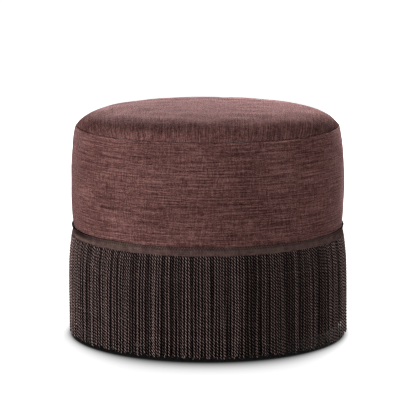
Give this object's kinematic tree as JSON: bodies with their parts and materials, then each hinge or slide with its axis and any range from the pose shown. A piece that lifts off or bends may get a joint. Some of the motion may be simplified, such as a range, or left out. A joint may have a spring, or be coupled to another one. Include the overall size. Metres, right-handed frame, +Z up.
{
  "type": "round fringed ottoman",
  "caption": "Round upholstered drum ottoman with a low padded crown, a sewn top seam and a long bullion fringe that hides low feet.",
  "frame": {"origin": "on the floor, under the middle of the drum", "axes": "+Z up along the drum's axis; -Y is the side that the picture shows"},
  "size_m": [0.5046, 0.5046, 0.4112],
  "materials": {
    "mauve_chenille": "slubbed chenille pile, matt with a soft sheen",
    "brown_trim_yarn": "twisted viscose yarn, slight lustre",
    "cream_foam": "open-cell polyurethane foam, matt",
    "white_wadding": "bonded polyester wadding, matt",
    "birch_plywood": "sanded, unfinished",
    "sawn_pine": "sawn, unfinished",
    "brown_fibreboard": "bare fibreboard",
    "black_dust_cloth": "non-woven cloth, matt",
    "black_foot_plastic": "moulded, satin",
    "zinc_plated_steel": "zinc plated"
  },
  "bodies": {
    "root": {"cover_top": "mauve_chenille", "cover_side": "mauve_chenille", "seat_wadding": "white_wadding", "crown_foam": "cream_foam", "seat_foam": "cream_foam", "side_foam": "cream_foam", "base_board": "birch_plywood", "top_board": "birch_plywood", "side_panel": "brown_fibreboard", "dust_cover": "black_dust_cloth", "heading_tape": "brown_trim_yarn", "upright_1": "sawn_pine", "upright_2": "sawn_pine", "upright_3": "sawn_pine", "upright_4": "sawn_pine", "upright_5": "sawn_pine", "upright_6": "sawn_pine", "base_board_screw_1": "zinc_plated_steel", "base_board_screw_2": "zinc_plated_steel", "base_board_screw_3": "zinc_plated_steel", "base_board_screw_4": "zinc_plated_steel", "base_board_screw_5": "zinc_plated_steel", "base_board_screw_6": "zinc_plated_steel", "top_board_screw_1": "zinc_plated_steel", "top_board_screw_2": "zinc_plated_steel", "top_board_screw_3": "zinc_plated_steel", "top_board_screw_4": "zinc_plated_steel", "top_board_screw_5": "zinc_plated_steel", "top_board_screw_6": "zinc_plated_steel", "foot_1": "black_foot_plastic", "foot_2": "black_foot_plastic", "foot_3": "black_foot_plastic", "foot_4": "black_foot_plastic", "foot_screw_1": "zinc_plated_steel", "foot_screw_2": "zinc_plated_steel", "foot_screw_3": "zinc_plated_steel", "foot_screw_4": "zinc_plated_steel", "fringe_1": "brown_trim_yarn", "fringe_2": "brown_trim_yarn", "fringe_3": "brown_trim_yarn", "fringe_4": "brown_trim_yarn", "fringe_5": "brown_trim_yarn", "fringe_6": "brown_trim_yarn", "fringe_7": "brown_trim_yarn", "fringe_8": "brown_trim_yarn", "fringe_9": "brown_trim_yarn", "fringe_10": "brown_trim_yarn", "fringe_11": "brown_trim_yarn", "fringe_12": "brown_trim_yarn"}
  },
  "joints": []
}
